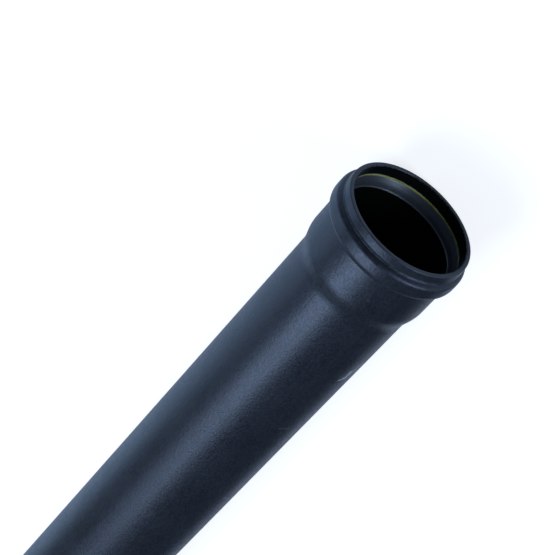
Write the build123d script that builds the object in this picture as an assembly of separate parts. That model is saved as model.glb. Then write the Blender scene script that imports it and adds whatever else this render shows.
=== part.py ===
from build123d import *

import os

# Soil pipe of 110 mm with a ring-seal socket, lying level along X with the mouth at +X.
# Every outline is a list of corners (depth from the mouth, radius, rounding), in millimetres.

# Length and pipe wall
laying_length = 1000.0
pipe_outer_radius = 55.0
pipe_inner_radius = 51.8

# Spigot end
spigot_chamfer_length = 5.0
spigot_chamfer_rise = 1.35
spigot_edge_rounding = 0.3

# Socket depths, measured from the mouth
groove_start = 10.9
groove_crown_start = 15.0
groove_crown_end = 21.6
groove_end = 25.9
bead_corner_depth = 27.8
barrel_end = 63.5
shoulder_end = 78.0

# Socket radii
mouth_radius = 55.5
mouth_lead_in = 0.6
groove_radius = 60.7
barrel_inner_radius = 55.6
barrel_outer_radius = 59.05
bead_radius = 64.1
shoulder_rounding = 20.0

# Seal and its ring
ring_front = 11.5
ring_back = 13.4
ring_inner_radius = 56.1
lip_tip_radius = 52.4
heel_back = 24.0

overall_length = laying_length + shoulder_end
half_length = overall_length / 2.0


def groove_front_radius(depth):
    rise = groove_radius - mouth_radius
    run = groove_crown_start - groove_start
    return mouth_radius + rise * (depth - groove_start) / run


def groove_back_radius(depth):
    fall = groove_radius - barrel_inner_radius
    run = groove_end - groove_crown_end
    return groove_radius - fall * (depth - groove_crown_end) / run


def turned(corners):
    # Spins a closed outline about the pipe's axis and sets the axis at bead height.
    points = [(half_length - depth, 0.0, radius) for depth, radius, rounding in corners]
    roundings = [rounding for depth, radius, rounding in corners]
    outline = FilletPolyline(*points, radius=roundings, close=True)
    section = make_face(outline)
    solid = revolve(section, axis=Axis.X, revolution_arc=360.0)
    return Pos(0.0, 0.0, bead_radius) * solid


def pipe_outside():
    chamfer_start = overall_length - spigot_chamfer_length
    return [
        (0.0, 59.2, 0.6),
        (1.3, 60.0, 1.0),
        (5.0, 60.2, 8.0),
        (10.3, 59.6, 0.8),
        (12.7, 63.0, 1.2),
        (15.2, bead_radius, 2.5),
        (22.6, bead_radius, 2.5),
        (25.0, 63.2, 1.5),
        (bead_corner_depth, barrel_outer_radius, 0.3),
        (barrel_end, barrel_outer_radius, shoulder_rounding),
        (shoulder_end, pipe_outer_radius, shoulder_rounding),
        (chamfer_start, pipe_outer_radius, 0.0),
        (overall_length, pipe_outer_radius - spigot_chamfer_rise, spigot_edge_rounding),
    ]


def pipe_inside():
    return [
        (overall_length, pipe_inner_radius, spigot_edge_rounding),
        (shoulder_end + 1.0, pipe_inner_radius, shoulder_rounding),
        (barrel_end + 1.0, barrel_inner_radius, shoulder_rounding),
        (groove_end, barrel_inner_radius, 0.6),
        (groove_crown_end, groove_radius, 0.0),
        (groove_crown_start, groove_radius, 0.0),
        (groove_start, mouth_radius, 0.0),
        (mouth_lead_in, mouth_radius, 0.0),
        (0.0, mouth_radius + mouth_lead_in, 0.0),
    ]


def pipe():
    return turned(pipe_outside() + pipe_inside())


def retaining_ring():
    return turned([
        (ring_front, ring_inner_radius, 0.0),
        (ring_front, groove_front_radius(ring_front), 0.0),
        (ring_back, groove_front_radius(ring_back), 0.0),
        (ring_back, ring_inner_radius, 0.3),
    ])


def lip_seal():
    # The front face slopes in to a small bead at the lip's edge; a gap behind lets the lip bend.
    return turned([
        (ring_back, ring_inner_radius + 0.1, 0.0),
        (ring_back, groove_front_radius(ring_back), 0.0),
        (groove_crown_start, groove_radius, 0.0),
        (groove_crown_end, groove_radius, 0.0),
        (heel_back, groove_back_radius(heel_back), 0.0),
        (heel_back, 56.7, 0.3),
        (19.8, 56.5, 0.7),
        (24.2, 53.9, 0.4),
        (24.4, lip_tip_radius, 0.5),
        (23.3, lip_tip_radius, 0.4),
        (22.7, 53.1, 0.3),
    ])


os.makedirs("parts", exist_ok=True)
export_step(pipe(), "parts/pipe.step")
export_step(retaining_ring(), "parts/retaining_ring.step")
export_step(lip_seal(), "parts/lip_seal.step")
print("overall length", overall_length, "mm")
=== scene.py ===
import bmesh
import bpy
import math
from mathutils import Matrix, Vector


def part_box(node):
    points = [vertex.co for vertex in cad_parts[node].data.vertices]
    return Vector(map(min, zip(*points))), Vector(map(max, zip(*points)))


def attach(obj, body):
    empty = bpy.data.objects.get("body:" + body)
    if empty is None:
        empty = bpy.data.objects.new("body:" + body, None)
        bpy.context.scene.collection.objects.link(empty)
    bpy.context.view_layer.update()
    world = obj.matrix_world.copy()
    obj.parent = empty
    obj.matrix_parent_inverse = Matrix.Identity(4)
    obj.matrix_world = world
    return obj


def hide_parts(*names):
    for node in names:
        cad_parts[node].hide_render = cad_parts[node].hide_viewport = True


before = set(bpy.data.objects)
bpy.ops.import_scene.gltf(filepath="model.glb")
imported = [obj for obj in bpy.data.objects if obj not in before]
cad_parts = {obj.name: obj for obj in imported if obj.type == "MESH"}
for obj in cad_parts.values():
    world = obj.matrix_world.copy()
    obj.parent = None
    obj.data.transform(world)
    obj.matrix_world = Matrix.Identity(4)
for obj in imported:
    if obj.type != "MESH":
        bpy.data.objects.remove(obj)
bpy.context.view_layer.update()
mm = 0.001

pipeLow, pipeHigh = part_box("pipe")
mouthX = pipeHigh[0]                       # the mouth's end face
axisZ = (pipeLow[2] + pipeHigh[2]) / 2     # the pipe lies level on its bead
pipeLength = (pipeHigh[0] - pipeLow[0]) / mm
beadRadius = pipeHigh[1] / mm
print("frame loaded, pipe", round(pipeLength), "mm long")


# Camera

cameraSet = {
    "focal": 1836.12,                          # in pixels of a 555 pixel picture
    "picture": 555,
    "sensor": 36.0,
    "nearest": 0.05,
    "mouth": (0.108349, -0.047597, 1.484720),  # the mouth's centre from the camera: right, down, ahead
    "down": (-0.53310, 0.59869, 0.59781),      # the way from the mouth to the spigot, seen the same way
}


def makeCamera(spec):
    # the pipe lies level, so its axis and the way up to the camera give the scene's own axes
    mouth = Vector(spec["mouth"])
    along = Vector(spec["down"]).normalized()
    toCamera = -(mouth - along * mouth.dot(along))
    up = toCamera.normalized()
    side = along.cross(up)
    toWorld = Matrix((-along, side, up))
    camera = bpy.data.cameras.new("camera")
    camera.sensor_width = spec["sensor"]
    camera.lens = spec["focal"] * spec["sensor"] / spec["picture"]
    camera.clip_start = spec["nearest"]
    cameraObject = bpy.data.objects.new("camera", camera)
    bpy.context.scene.collection.objects.link(cameraObject)
    place = toWorld @ -mouth + Vector((mouthX, 0, axisZ))
    # down and ahead are a camera's -Y and -Z
    turn = toWorld @ Matrix(((1, 0, 0), (0, -1, 0), (0, 0, -1)))
    cameraObject.matrix_world = Matrix.Translation(place) @ turn.to_4x4()
    bpy.context.scene.camera = cameraObject


makeCamera(cameraSet)
print("camera placed")


# Shapes

turnedSpec = {
    "hold": 0.7,            # mm from both ends of a long straight to the points that hold its edge marks
    "merge": 0.002,         # mm within which two points become one
    "wornRounding": 0.5,    # mm, the rounding that is marked as fully worn
    "turnIn": 3.0,          # how fast the inside mark comes in as the surface turns to the axis
    "sharp": 28,            # degrees past which an edge shades sharp
}


def outlineMesh(bm, corners):
    # corners are (depth from the mouth, radius, rounding cut, rounding steps) in mm
    verts = [bm.verts.new((mouthX - depth * mm, 0, axisZ + radius * mm))
             for depth, radius, cut, steps in corners]
    bm.faces.new(verts)
    for vert, (depth, radius, cut, steps) in zip(verts, corners):
        if cut:
            bmesh.ops.bevel(bm, geom=[vert], offset=cut * mm, offset_type="OFFSET",
                            affect="VERTICES", segments=steps, profile=0.5, material=-1)
    bmesh.ops.delete(bm, geom=bm.faces[:], context="FACES_ONLY")


def holdEdges(bm, reach):
    # a point close to both ends of each long straight, so that a mark on an edge fades out near it
    for edge in [edge for edge in bm.edges if edge.calc_length() > 3 * reach * mm]:
        first, second = edge.verts
        made = bmesh.utils.edge_split(edge, first, reach * mm / edge.calc_length())[0]
        rest = max(edge, made, key=lambda part: part.calc_length())
        bmesh.utils.edge_split(rest, second, reach * mm / rest.calc_length())


def markEdges(bm, wornRounding):
    # each vertex keeps how tightly the surface bends outward there, for the wear on edges
    mark = bm.verts.layers.float.new("edge")
    for vert in bm.verts:
        bend = max(edge.calc_face_angle_signed(0) for edge in vert.link_edges)
        reach = min(edge.calc_length() for edge in vert.link_edges)
        vert[mark] = min(1.0, max(0.0, bend / reach * wornRounding * mm))


def markInside(bm, turnIn):
    # 1 where the surface faces the pipe's axis, 0 on its outside and ends
    mark = bm.verts.layers.float.new("inside")
    bm.normal_update()
    for vert in bm.verts:
        outward = Vector((0, vert.co.y, vert.co.z - axisZ)).normalized()
        vert[mark] = min(1.0, max(0.0, -turnIn * vert.normal.dot(outward)))


def meshObject(name, bm):
    mesh = bpy.data.meshes.new(name)
    bm.to_mesh(mesh)
    bm.free()
    made = bpy.data.objects.new(name, mesh)
    bpy.context.scene.collection.objects.link(made)
    return made


def turnedPiece(name, node, corners, around):
    bm = bmesh.new()
    outlineMesh(bm, corners)
    holdEdges(bm, turnedSpec["hold"])
    bmesh.ops.spin(bm, geom=bm.verts[:] + bm.edges[:], cent=(0, 0, axisZ), axis=(1, 0, 0),
                   angle=math.tau, steps=around, use_merge=True, dvec=(0, 0, 0))
    bmesh.ops.remove_doubles(bm, verts=bm.verts[:], dist=turnedSpec["merge"] * mm)
    bmesh.ops.recalc_face_normals(bm, faces=bm.faces[:])
    markEdges(bm, turnedSpec["wornRounding"])
    markInside(bm, turnedSpec["turnIn"])
    piece = meshObject(name, bm)
    mesh = piece.data
    mesh.polygons.foreach_set("use_smooth", [True] * len(mesh.polygons))
    mesh.set_sharp_from_angle(angle=math.radians(turnedSpec["sharp"]))
    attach(piece, "root")
    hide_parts(node)
    print(name, len(mesh.polygons), "faces")
    return piece


# radii in mm that the outlines share
pipeRadius = 55.0
boreRadius = 51.8
mouthRadius = 55.5
barrelRadius = 59.05
barrelBore = 55.6
grooveRadius = 60.7
crownEdge = beadRadius - 0.12    # the bead's crown is a little higher in its middle
lipRadius = 52.4

pipeSpec = {
    "around": 256,
    "outside": [
        (0.0, 59.45, 0.95, 8),
        (7.5, 60.35, 0.8, 5),
        (8.0, 59.35, 0.25, 3),
        (9.5, 60.2, 0.4, 4),
        (9.8, 59.8, 0.15, 3),
        (10.1, 59.95, 0.15, 4),
        (11.0, 61.9, 0.5, 5),
        (12.1, 63.1, 0.7, 5),
        (13.4, 63.75, 0.7, 5),
        (15.6, crownEdge, 0.9, 5),
        (19.0, beadRadius, 2.2, 6),
        (23.1, crownEdge, 1.1, 6),
        (25.7, 62.95, 0.9, 5),
        (28.3, barrelRadius, 1.2, 6),
        (63.5, barrelRadius, 4.0, 8),
        (78.0, pipeRadius, 4.0, 8),
        (pipeLength - 5.0, pipeRadius, 0.3, 2),
        (pipeLength, 53.65, 0.4, 4),
    ],
    "inside": [
        (pipeLength, boreRadius, 0.4, 4),
        (79.0, boreRadius, 4.0, 8),
        (64.5, barrelBore, 4.0, 8),
        (25.9, barrelBore, 0.5, 3),
        (21.6, grooveRadius, 0.0, 0),
        (15.0, grooveRadius, 0.0, 0),
        (10.9, mouthRadius, 0.3, 2),
        (0.6, mouthRadius, 0.2, 2),
        (0.0, 56.1, 0.2, 2),
    ],
}
pipe = turnedPiece("soil_pipe", "pipe",
                   pipeSpec["outside"] + pipeSpec["inside"], pipeSpec["around"])

ringSpec = {
    "around": 224,
    "section": [
        (11.5, 56.1, 0.12, 3),
        (11.5, 56.26, 0.0, 0),
        (13.4, 58.67, 0.0, 0),
        (13.4, 56.1, 0.3, 4),
    ],
}
ring = turnedPiece("seal_retaining_ring", "retaining_ring",
                   ringSpec["section"], ringSpec["around"])

sealSpec = {
    "around": 224,
    "section": [
        (13.4, 56.2, 0.2, 3),
        (13.4, 58.67, 0.0, 0),
        (15.0, grooveRadius, 0.0, 0),
        (21.6, grooveRadius, 0.0, 0),
        (24.0, 57.85, 0.2, 2),
        (24.0, 56.7, 0.2, 2),
        (19.8, 56.5, 0.6, 4),
        (24.2, 53.9, 0.3, 3),
        (24.4, lipRadius, 0.35, 4),
        (23.7, lipRadius, 0.25, 4),
        (23.2, 53.05, 0.15, 3),
        (18.8, 54.15, 1.5, 6),
    ],
}
seal = turnedPiece("lip_seal_ring", "lip_seal",
                   sealSpec["section"], sealSpec["around"])
print("pieces made")


# Shader nodes

def feed(tree, socket, value):
    # a link where the value comes from a node, and a plain setting otherwise
    if isinstance(value, bpy.types.NodeSocket):
        tree.links.new(value, socket)
    else:
        socket.default_value = value


def newGroup(name, takes, gives):
    # takes has each input's name and value, None for a vector; gives has the outputs' names
    group = bpy.data.node_groups.new(name, "ShaderNodeTree")
    for socketName, value in takes.items():
        kind = "NodeSocketVector" if value is None else "NodeSocketFloat"
        socket = group.interface.new_socket(socketName, in_out="INPUT", socket_type=kind)
        if value is not None:
            socket.default_value = value
    for socketName in gives:
        group.interface.new_socket(socketName, in_out="OUTPUT", socket_type="NodeSocketFloat")
    groupInputs = group.nodes.new("NodeGroupInput").outputs
    groupOutputs = group.nodes.new("NodeGroupOutput").inputs
    return group, groupInputs, groupOutputs


def addGroup(tree, group, **values):
    node = tree.nodes.new("ShaderNodeGroup")
    node.node_tree = group
    for name, value in values.items():
        feed(tree, node.inputs[name], value)
    return node.outputs


def addMath(tree, operation, *values):
    node = tree.nodes.new("ShaderNodeMath")
    node.operation = operation
    for socket, value in zip(node.inputs, values):
        feed(tree, socket, value)
    return node.outputs[0]


def addVectorMath(tree, operation, *values):
    node = tree.nodes.new("ShaderNodeVectorMath")
    node.operation = operation
    sockets = (node.inputs[0], node.inputs["Scale"]) if operation == "SCALE" else node.inputs
    for socket, value in zip(sockets, values):
        feed(tree, socket, value)
    return node.outputs["Value" if operation in ("DOT_PRODUCT", "LENGTH") else "Vector"]


def addNoise(tree, where, scale, detail, roughness):
    node = tree.nodes.new("ShaderNodeTexNoise")
    feed(tree, node.inputs["Vector"], where)
    feed(tree, node.inputs["Scale"], scale)
    feed(tree, node.inputs["Detail"], detail)
    feed(tree, node.inputs["Roughness"], roughness)
    return node.outputs[0]


def addRange(tree, value, low, high, toLow=0.0, toHigh=1.0, soft=True):
    node = tree.nodes.new("ShaderNodeMapRange")
    node.interpolation_type = "SMOOTHSTEP" if soft else "LINEAR"
    feed(tree, node.inputs["Value"], value)
    feed(tree, node.inputs["From Min"], low)
    feed(tree, node.inputs["From Max"], high)
    feed(tree, node.inputs["To Min"], toLow)
    feed(tree, node.inputs["To Max"], toHigh)
    return node.outputs["Result"]


def addMix(tree, share, first, second):
    node = tree.nodes.new("ShaderNodeMix")
    node.data_type = "RGBA"
    feed(tree, node.inputs["Factor"], share)
    feed(tree, node.inputs["A"], first)
    feed(tree, node.inputs["B"], second)
    return node.outputs["Result"]


# Effects that the materials share

# a noise is its scale in lumps to the metre, its detail and its roughness
grainSpec = {
    "coarse": 420.0,          # the two scales, unless the material says otherwise
    "fine": 1700.0,
    "coarseNoise": (3, 0.6),
    "fineNoise": (2, 0.5),
    "fineHeight": 0.45,       # beside the coarse lumps
    "clouds": (26.0, 4, 0.6),
    "cloudGrain": 0.4,        # how much the coarse lumps break up the clouds
    "mottle": (0.5, 0.9),     # the clouds' values that come out as 0 and 1
    "speck": (0.36, 0.64),    # the same for the coarse lumps
}


def makeGrain(spec):
    # the fine, even roughness of moulded and drawn plastic
    sizes = {"Coarse": spec["coarse"], "Fine": spec["fine"]}
    group, takes, gives = newGroup("plastic_grain", {"Where": None, **sizes}, ["Height", "Mottle", "Speck"])
    coarse = addNoise(group, takes["Where"], takes["Coarse"], *spec["coarseNoise"])
    fine = addNoise(group, takes["Where"], takes["Fine"], *spec["fineNoise"])
    clouds = addNoise(group, takes["Where"], *spec["clouds"])
    cloudy = addMath(group, "MULTIPLY_ADD", coarse, spec["cloudGrain"], clouds)
    group.links.new(addMath(group, "MULTIPLY_ADD", fine, spec["fineHeight"], coarse), gives["Height"])
    group.links.new(addRange(group, cloudy, *spec["mottle"]), gives["Mottle"])
    group.links.new(addRange(group, coarse, *spec["speck"]), gives["Speck"])
    return group


drawLineSpec = {
    "alongPipe": 0.012,       # the scale along the pipe beside that across it
    "lines": (900.0, 3, 0.6),
    "bands": (150.0, 2, 0.5),
    "bandHeight": 0.5,
    "streak": (0.38, 0.68),
}


def makeDrawLines(spec):
    # faint lines along the pipe from the die it was drawn through
    group, takes, gives = newGroup("draw_lines", {"Where": None}, ["Height", "Streak"])
    stretched = addVectorMath(group, "MULTIPLY", takes["Where"], (spec["alongPipe"], 1.0, 1.0))
    lines = addNoise(group, stretched, *spec["lines"])
    bands = addNoise(group, stretched, *spec["bands"])
    group.links.new(addMath(group, "MULTIPLY_ADD", bands, spec["bandHeight"], lines), gives["Height"])
    group.links.new(addRange(group, bands, *spec["streak"]), gives["Streak"])
    return group


edgeWearSpec = {
    "patches": (240.0, 5, 0.65),
    "broken": (0.42, 0.62),
}


def makeEdgeWear(spec):
    # convex edges rubbed paler, broken up by noise; Edge is each vertex's own mark
    group, takes, gives = newGroup("edge_wear", {"Where": None, "Edge": 0.0}, ["Mask"])
    broken = addRange(group, addNoise(group, takes["Where"], *spec["patches"]), *spec["broken"])
    group.links.new(addMath(group, "MULTIPLY", takes["Edge"], broken), gives["Mask"])
    return group


scuffSpec = {
    "frays": (900.0, 4, 0.7),
    "frayed": (0.35, 0.65),
    "kept": (0.15, 1.0),      # the share of a scuff's width left where it is frayed, and elsewhere
}


def makeScuff(spec):
    # one scraped line between two places on the surface
    places = {"Where": None, "Start": None, "End": None}
    group, takes, gives = newGroup("scuff", {**places, "Width": mm}, ["Mask"])
    way = addVectorMath(group, "SUBTRACT", takes["End"], takes["Start"])
    reach = addVectorMath(group, "SUBTRACT", takes["Where"], takes["Start"])
    share = addMath(group, "DIVIDE", addVectorMath(group, "DOT_PRODUCT", reach, way),
                    addVectorMath(group, "DOT_PRODUCT", way, way))
    share.node.use_clamp = True
    nearest = addVectorMath(group, "SCALE", way, share)
    away = addVectorMath(group, "LENGTH", addVectorMath(group, "SUBTRACT", reach, nearest))
    frays = addNoise(group, takes["Where"], *spec["frays"])
    kept = addRange(group, frays, *spec["frayed"], *spec["kept"])
    width = addMath(group, "MULTIPLY", takes["Width"], kept)
    group.links.new(addRange(group, away, 0.0, width, 1.0, 0.0), gives["Mask"])
    return group


scratchSpec = {
    "patterns": [
        # the share of the scale along each axis, and the noise
        ((0.05, 1.0, 1.0), (520.0, 2, 0.4)),
        ((0.30, 0.22, 1.0), (430.0, 2, 0.4)),
    ],
    "thin": (0.715, 0.75),
    "areas": (17.0, 2, 0.5),
    "scattered": (0.5, 0.62),
}


def makeScratches(spec):
    # a few light handling scratches, mostly lengthwise, scattered over the whole surface
    group, takes, gives = newGroup("scratches", {"Where": None}, ["Mask"])
    masks = []
    for shares, noise in spec["patterns"]:
        line = addNoise(group, addVectorMath(group, "MULTIPLY", takes["Where"], shares), *noise)
        thin = addRange(group, line, *spec["thin"])
        area = addRange(group, addNoise(group, takes["Where"], *spec["areas"]), *spec["scattered"])
        masks.append(addMath(group, "MULTIPLY", thin, area))
    group.links.new(addMath(group, "MAXIMUM", *masks), gives["Mask"])
    return group


grain = makeGrain(grainSpec)
drawLines = makeDrawLines(drawLineSpec)
edgeWear = makeEdgeWear(edgeWearSpec)
scuff = makeScuff(scuffSpec)
scratches = makeScratches(scratchSpec)
print("shader groups made")


# Materials

def newMaterial(name, settings):
    # settings are the shader's own plain values
    material = bpy.data.materials.new(name)
    material.use_nodes = True
    tree = material.node_tree
    tree.nodes.clear()
    shader = tree.nodes.new("ShaderNodeBsdfPrincipled")
    for setting, value in settings.items():
        shader.inputs[setting].default_value = value
    output = tree.nodes.new("ShaderNodeOutputMaterial")
    tree.links.new(shader.outputs[0], output.inputs["Surface"])
    return material, tree, shader.inputs


def addBump(tree, inputs, height, strength, distance):
    bump = tree.nodes.new("ShaderNodeBump")
    bump.inputs["Strength"].default_value = strength
    bump.inputs["Distance"].default_value = distance * mm
    tree.links.new(height, bump.inputs["Height"])
    tree.links.new(bump.outputs["Normal"], inputs["Normal"])


def addMark(tree, name):
    # a mark that the shape's vertices keep: edge or inside
    mark = tree.nodes.new("ShaderNodeAttribute")
    mark.attribute_name = name
    return mark.outputs["Fac"]


def onPipe(depth, angle):
    # a place on the plain pipe from its depth in mm and its angle from the top in degrees
    turn = math.radians(angle)
    return (mouthX - depth * mm, pipeRadius * mm * math.sin(turn), axisZ + pipeRadius * mm * math.cos(turn))


pipePlastic = {
    "colour": (0.0058, 0.0072, 0.0104, 1),
    "mottled": (0.0120, 0.0148, 0.0210, 1),
    "mottle": 0.4,                # shares of the clouds, the draw lines and the specks in it
    "streaks": 0.2,
    "specks": 0.5,
    # painted shade: the darker colour of the surfaces that face the axis, where little light reaches
    "inside": (0.0022, 0.0031, 0.0028, 1),
    # the paler colour of rubbed edges, and also of the painted highlight on both end faces
    "worn": (0.052, 0.060, 0.078, 1),
    "edgeWear": 0.8,
    "paintedEndHighlight": (0.8, 0.1, 0.4),   # painted highlight on both end faces, in the worn colour: mm from each end where it starts and where it is full, and its share
    "scuffed": (0.50, 0.55, 0.64, 1),
    "scratched": 0.015,
    "smooth": 0.31,
    "rough": 0.44,
    "smoothInside": 0.24,
    "rubbed": 0.2,                # added to the roughness where it is worn, scuffed or scratched
    "bump": (0.9, 0.22),          # strength, and depth in mm
    "lineHeight": 0.3,
    "markHeight": -1.5,
    "heightInside": 0.03,
    "settings": {
        "Specular IOR Level": 0.5,
        "Specular Tint": (0.50, 0.66, 1.0, 1),
        "Sheen Weight": 0.14,     # the blue haze that the grain shows at low angles
        "Sheen Roughness": 0.28,
        "Sheen Tint": (0.30, 0.52, 1.0, 1),
    },
    "scuffs": [
        # from depth and angle, to depth and angle, half width in mm and strength
        (151.1, -62.0, 149.0, -67.2, 3.0, 0.5),
        (149.0, -67.4, 140.5, -69.0, 6.5, 0.5),
        (143.0, -70.5, 131.0, -74.0, 5.0, 0.25),
        (225.8, -47.5, 225.2, -58.5, 1.1, 0.12),
        (340.0, -61.0, 346.0, -73.5, 1.5, 0.2),
    ],
}


def makePipePlastic(spec):
    material, tree, inputs = newMaterial("pipe_plastic", spec["settings"])
    where = tree.nodes.new("ShaderNodeTexCoord").outputs["Object"]
    inside = addMark(tree, "inside")
    fine = addGroup(tree, grain, Where=where)
    lines = addGroup(tree, drawLines, Where=where)
    worn = addGroup(tree, edgeWear, Where=where, Edge=addMark(tree, "edge"))["Mask"]

    marks = addMath(tree, "MULTIPLY", addGroup(tree, scratches, Where=where)["Mask"], spec["scratched"])
    for startDepth, startAngle, endDepth, endAngle, width, strength in spec["scuffs"]:
        mark = addGroup(tree, scuff, Where=where, Start=onPipe(startDepth, startAngle),
                        End=onPipe(endDepth, endAngle), Width=width * mm)["Mask"]
        marks = addMath(tree, "MAXIMUM", marks, addMath(tree, "MULTIPLY", mark, strength))

    cloudy = addMath(tree, "MULTIPLY", fine["Mottle"], spec["mottle"])
    cloudy = addMath(tree, "MULTIPLY_ADD", lines["Streak"], spec["streaks"], cloudy)
    cloudy = addMath(tree, "MULTIPLY_ADD", fine["Speck"], spec["specks"], cloudy)
    colour = addMix(tree, cloudy, spec["colour"], spec["mottled"])
    # painted shade on the surfaces that face the axis, by the inside mark
    colour = addMix(tree, inside, colour, spec["inside"])

    # a painted highlight on both end faces, an even band in the worn colour, joined with the edge wear
    highlightStart, highlightFull, highlightShare = spec["paintedEndHighlight"]
    fromMiddle = addMath(tree, "ABSOLUTE", addVectorMath(tree, "DOT_PRODUCT", where, (1.0, 0.0, 0.0)))
    paintedEndHighlight = addRange(tree, fromMiddle, mouthX - highlightStart * mm, mouthX - highlightFull * mm, 0.0, highlightShare)
    wearAndEndHighlight = addMath(tree, "MAXIMUM", addMath(tree, "MULTIPLY", worn, spec["edgeWear"]), paintedEndHighlight)
    colour = addMix(tree, wearAndEndHighlight, colour, spec["worn"])
    colour = addMix(tree, marks, colour, spec["scuffed"])
    tree.links.new(colour, inputs["Base Color"])

    rough = addRange(tree, cloudy, 0.0, 1.0, spec["smooth"], spec["rough"], soft=False)
    rough = addRange(tree, inside, 0.0, 1.0, rough, spec["smoothInside"], soft=False)
    rough = addMath(tree, "MULTIPLY_ADD", addMath(tree, "MAXIMUM", worn, marks), spec["rubbed"], rough)
    tree.links.new(rough, inputs["Roughness"])

    height = addMath(tree, "MULTIPLY_ADD", lines["Height"], spec["lineHeight"], fine["Height"])
    height = addMath(tree, "MULTIPLY_ADD", marks, spec["markHeight"], height)
    height = addMath(tree, "MULTIPLY", height, addRange(tree, inside, 0.0, 1.0, 1.0, spec["heightInside"]))
    addBump(tree, inputs, height, *spec["bump"])
    return material


def finishGrained(tree, inputs, spec, where, fine, colour):
    # worn edges, and the grain in the roughness and the bump, as on both small rings
    worn = addGroup(tree, edgeWear, Where=where, Edge=addMark(tree, "edge"))["Mask"]
    colour = addMix(tree, addMath(tree, "MULTIPLY", worn, spec["edgeWear"]), colour, spec["worn"])
    tree.links.new(colour, inputs["Base Color"])
    rough = addRange(tree, fine["Mottle"], 0.0, 1.0, spec["smooth"], spec["rough"], soft=False)
    tree.links.new(rough, inputs["Roughness"])
    addBump(tree, inputs, fine["Height"], *spec["bump"])


sealRubber = {
    "grain": {"Coarse": 700.0, "Fine": 2600.0},
    "colour": (0.015, 0.0185, 0.026, 1),
    "dusty": (0.038, 0.043, 0.055, 1),
    "mottle": 0.35,               # the share of the clouds in the dust
    "specks": (1500.0, 3, 0.6),
    "speckRange": (0.6, 0.74),
    "worn": (0.022, 0.026, 0.035, 1),
    "edgeWear": 0.5,
    "smooth": 0.33,
    "rough": 0.43,
    "bump": (0.3, 0.04),
    "settings": {
        "Specular IOR Level": 1.0,
        "Specular Tint": (0.62, 0.76, 1.0, 1),
    },
}


def makeRubber(spec):
    material, tree, inputs = newMaterial("seal_rubber", spec["settings"])
    where = tree.nodes.new("ShaderNodeTexCoord").outputs["Object"]
    fine = addGroup(tree, grain, Where=where, **spec["grain"])
    specks = addRange(tree, addNoise(tree, where, *spec["specks"]), *spec["speckRange"])
    dusty = addMath(tree, "MAXIMUM", addMath(tree, "MULTIPLY", fine["Mottle"], spec["mottle"]), specks)
    colour = addMix(tree, dusty, spec["colour"], spec["dusty"])
    finishGrained(tree, inputs, spec, where, fine, colour)
    return material


ringPlastic = {
    "grain": {"Coarse": 600.0, "Fine": 2200.0},
    "colour": (0.19, 0.23, 0.034, 1),
    "pale": (0.25, 0.285, 0.075, 1),
    "worn": (0.37, 0.40, 0.21, 1),
    "edgeWear": 0.6,
    "smooth": 0.30,
    "rough": 0.42,
    "bump": (0.25, 0.03),
    "settings": {"Specular IOR Level": 0.9},
}


def makeRingPlastic(spec):
    material, tree, inputs = newMaterial("ring_plastic", spec["settings"])
    where = tree.nodes.new("ShaderNodeTexCoord").outputs["Object"]
    fine = addGroup(tree, grain, Where=where, **spec["grain"])
    colour = addMix(tree, fine["Mottle"], spec["colour"], spec["pale"])
    finishGrained(tree, inputs, spec, where, fine, colour)
    return material


pipe.data.materials.append(makePipePlastic(pipePlastic))
seal.data.materials.append(makeRubber(sealRubber))
ring.data.materials.append(makeRingPlastic(ringPlastic))
print("materials made")


# Floor and light

matte = {"Roughness": 0.9, "Specular IOR Level": 0.0}    # the paint of the floor and the paper of the cards

floorSpec = {
    "size": 14.0,
    "colour": (0.44, 0.49, 0.56, 1),
    "lift": 0.74,      # added to the floor where it is seen, so that it reads as white
    "mirrored": 0.2,   # the share of it that mirrored rays get
}


def makeFloor(spec):
    bm = bmesh.new()
    bmesh.ops.create_grid(bm, x_segments=1, y_segments=1, size=spec["size"] / 2)
    floor = meshObject("floor", bm)
    settings = {**matte, "Base Color": spec["colour"], "Emission Color": (1, 1, 1, 1)}
    material, tree, inputs = newMaterial("floor_paint", settings)
    path = tree.nodes.new("ShaderNodeLightPath").outputs
    mirrored = addMath(tree, "MULTIPLY_ADD", path["Is Glossy Ray"], spec["mirrored"],
                       path["Is Transmission Ray"])
    seen = addMath(tree, "MAXIMUM", path["Is Camera Ray"], mirrored)
    tree.links.new(addMath(tree, "MULTIPLY", seen, spec["lift"]), inputs["Emission Strength"])
    floor.data.materials.append(material)


cardSpecs = {
    # the two ends of a card's foot, how far the foot is swept, and the card's colour and glow
    # painted dark reflection of the shade beside the pipe
    "grey_card": {
        "foot": ((-1.2, -0.15, 0.0), (0.53, -0.15, 0.0)),
        "sweep": (0, 0, 0.3),
        "colour": (0.14, 0.17, 0.23, 1),
        "glow": 0.0,
    },
    # painted bright blue reflection, a card that glows though it is no lamp
    "blue_card": {
        "foot": ((-1.3, 0.11, 0.002), (0.60, 0.11, 0.002)),
        "sweep": (0, 1.5, 0),
        "colour": (0.60, 0.78, 1.0, 1),
        "glow": 0.25,
    },
}


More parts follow.
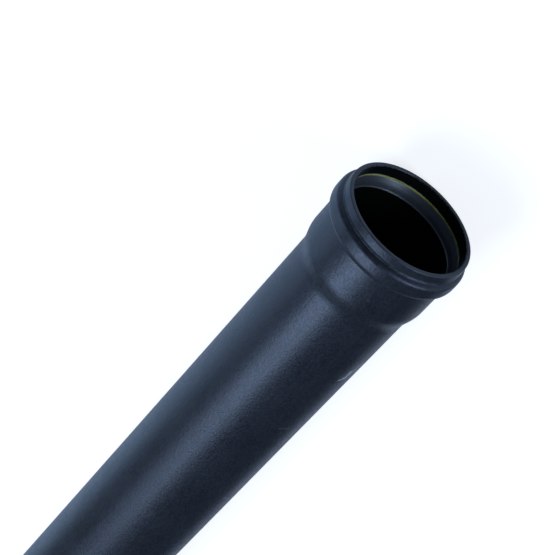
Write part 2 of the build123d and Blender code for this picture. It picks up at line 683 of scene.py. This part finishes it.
def makeCard(name, spec):
    # a card beside the pipe that only reflections see: a painted reflection that casts no shadow
    bm = bmesh.new()
    foot = bm.edges.new([bm.verts.new(end) for end in spec["foot"]])
    swept = bmesh.ops.extrude_edge_only(bm, edges=[foot])["geom"]
    sweptVerts = [part for part in swept if isinstance(part, bmesh.types.BMVert)]
    bmesh.ops.translate(bm, verts=sweptVerts, vec=spec["sweep"])
    card = meshObject(name, bm)
    card.visible_camera = card.visible_diffuse = card.visible_shadow = card.visible_transmission = False
    colour = spec["colour"]
    settings = {**matte, "Base Color": colour, "Emission Color": colour, "Emission Strength": spec["glow"]}
    card.data.materials.append(newMaterial(name + "_paper", settings)[0])


lightSpec = {
    "aim": (mouthX - 0.12, 0, axisZ),    # on the axis, 120 mm in from the mouth
    "world": (0.11, 0.13, 0.16, 1),
    "seenWorld": (1, 1, 1, 1),    # white where it is seen past the floor
    "lamps": [
        # name, place from the aim, width, height, watts, colour
        ("key", (-1.10, 0.40, 1.90), 1.3, 1.1, 34, (0.84, 0.92, 1.0)),
        ("fill", (-0.75, 2.2, 0.6), 1.8, 1.2, 12, (0.66, 0.82, 1.0)),
        ("mouth", (0.95, -2.05, 1.1), 1.5, 1.3, 42, (0.84, 0.92, 1.0)),
    ],
}


def makeLights(spec):
    aim = Vector(spec["aim"])
    for name, place, width, height, watts, colour in spec["lamps"]:
        lamp = bpy.data.lights.new(name, "AREA")
        lamp.shape = "RECTANGLE"
        lamp.size, lamp.size_y = width, height
        lamp.energy = watts
        lamp.color = colour
        lampObject = bpy.data.objects.new(name, lamp)
        lampObject.location = aim + Vector(place)
        lampObject.rotation_mode = "QUATERNION"
        lampObject.rotation_quaternion = (-Vector(place)).to_track_quat("-Z", "Y")
        lampObject.visible_camera = False
        bpy.context.scene.collection.objects.link(lampObject)
    world = bpy.data.worlds.new("studio")
    world.use_nodes = True
    tree = world.node_tree
    seen = tree.nodes.new("ShaderNodeLightPath").outputs["Is Camera Ray"]
    sky = addMix(tree, seen, spec["world"], spec["seenWorld"])
    tree.links.new(sky, tree.nodes["Background"].inputs["Color"])
    bpy.context.scene.world = world
    bpy.context.scene.view_settings.view_transform = "Standard"


makeFloor(floorSpec)
for cardName, cardSpec in cardSpecs.items():
    makeCard(cardName, cardSpec)
makeLights(lightSpec)
print("floor and lights made")
